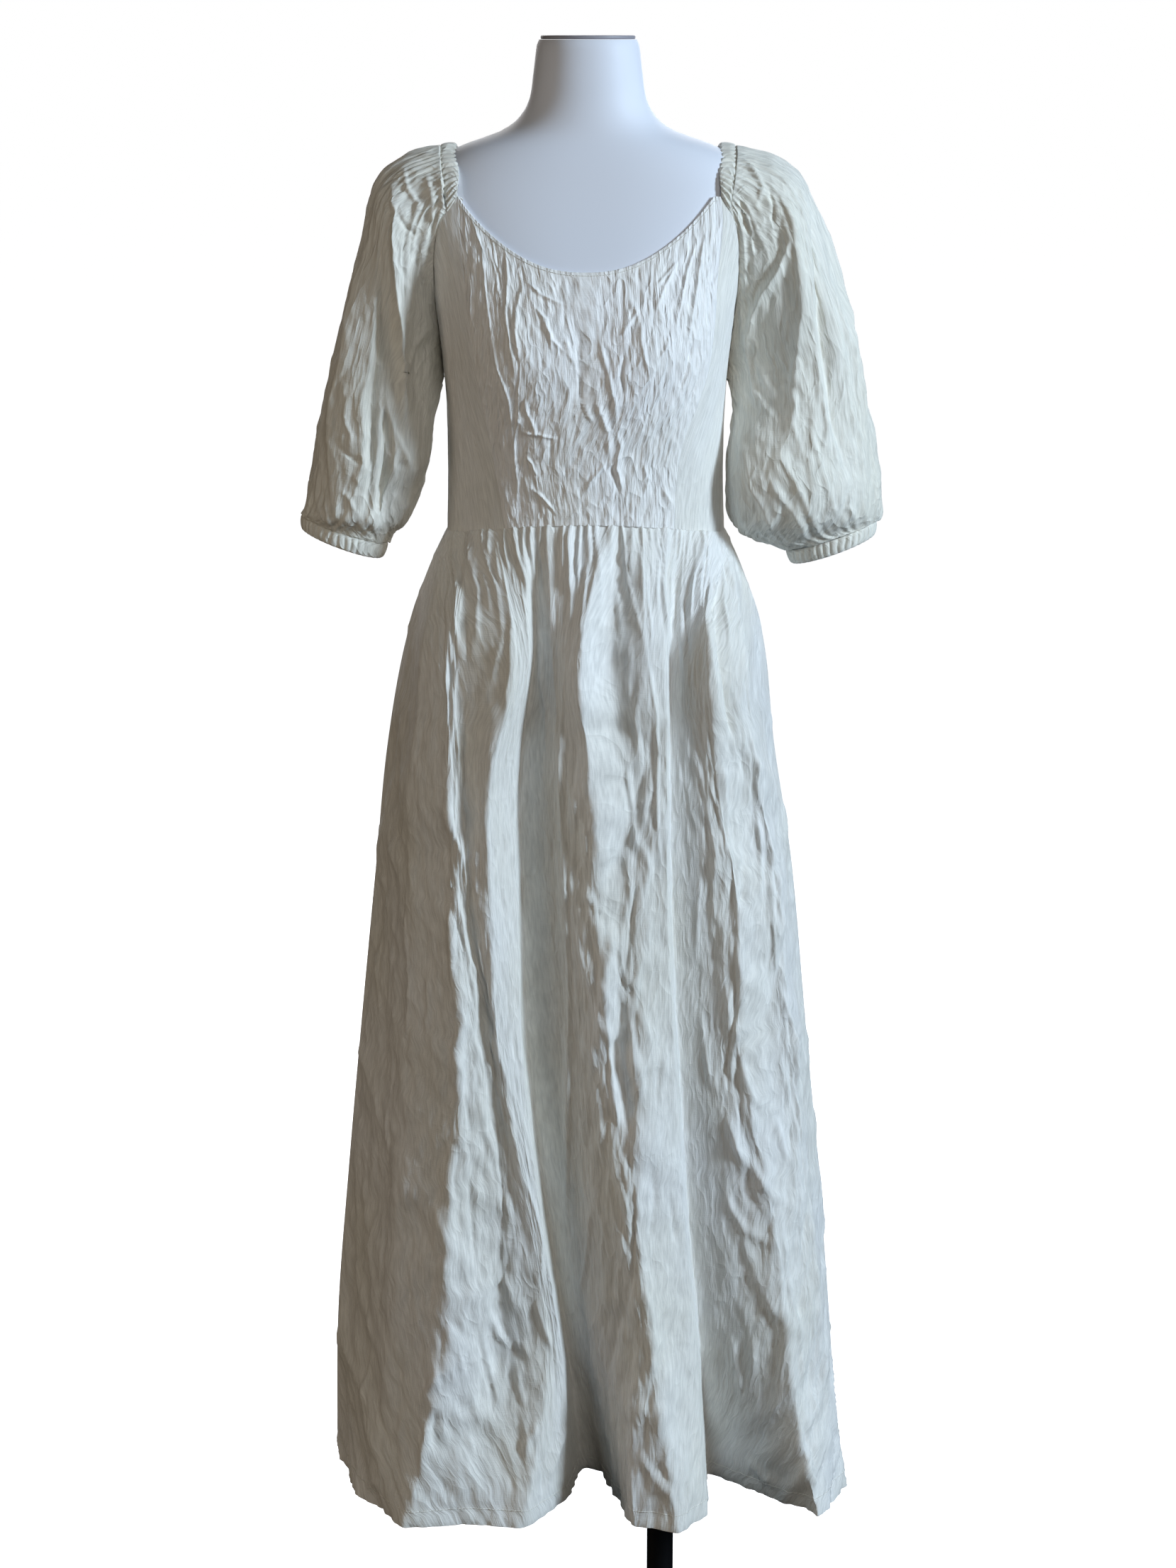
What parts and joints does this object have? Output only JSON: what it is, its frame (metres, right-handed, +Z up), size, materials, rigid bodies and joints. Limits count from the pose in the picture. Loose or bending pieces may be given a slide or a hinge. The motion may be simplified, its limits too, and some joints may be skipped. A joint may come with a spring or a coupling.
{
  "type": "peasant dress on a dress form",
  "caption": "Full-length gathered peasant dress in crinkled gauze with a scoop neck and puff sleeves, worn on a limbless dress form on a pole stand",
  "frame": {"origin": "on the floor, straight below the middle of the dress, midway between its sides and between its front and back", "axes": "+Z up, the front of the dress faces -Y, +X is the viewer's right when facing the front"},
  "size_m": [0.5654, 0.407, 1.7003],
  "materials": {
    "gauze": "ivory cotton gauze, matt, softly crinkled",
    "crinkled_gauze": "ivory cotton gauze with a heavy lengthwise crinkle, matt",
    "form_shell": "smooth white moulded shell with a soft gloss",
    "cap_grey": "grey, satin",
    "black_metal": "black paint, satin"
  },
  "bodies": {
    "root": {"bodice_front": "crinkled_gauze", "bodice_side_front_left": "gauze", "bodice_side_front_right": "gauze", "bodice_back": "gauze", "skirt_front": "gauze", "skirt_back": "gauze", "sleeve_left": "gauze", "sleeve_right": "gauze", "neck_casing_left": "gauze", "neck_casing_right": "gauze", "cuff_left": "gauze", "cuff_right": "gauze", "dress_form": "form_shell", "neck_cap": "cap_grey", "collar": "black_metal", "pole": "black_metal", "hub": "black_metal", "base": "black_metal"}
  },
  "joints": []
}
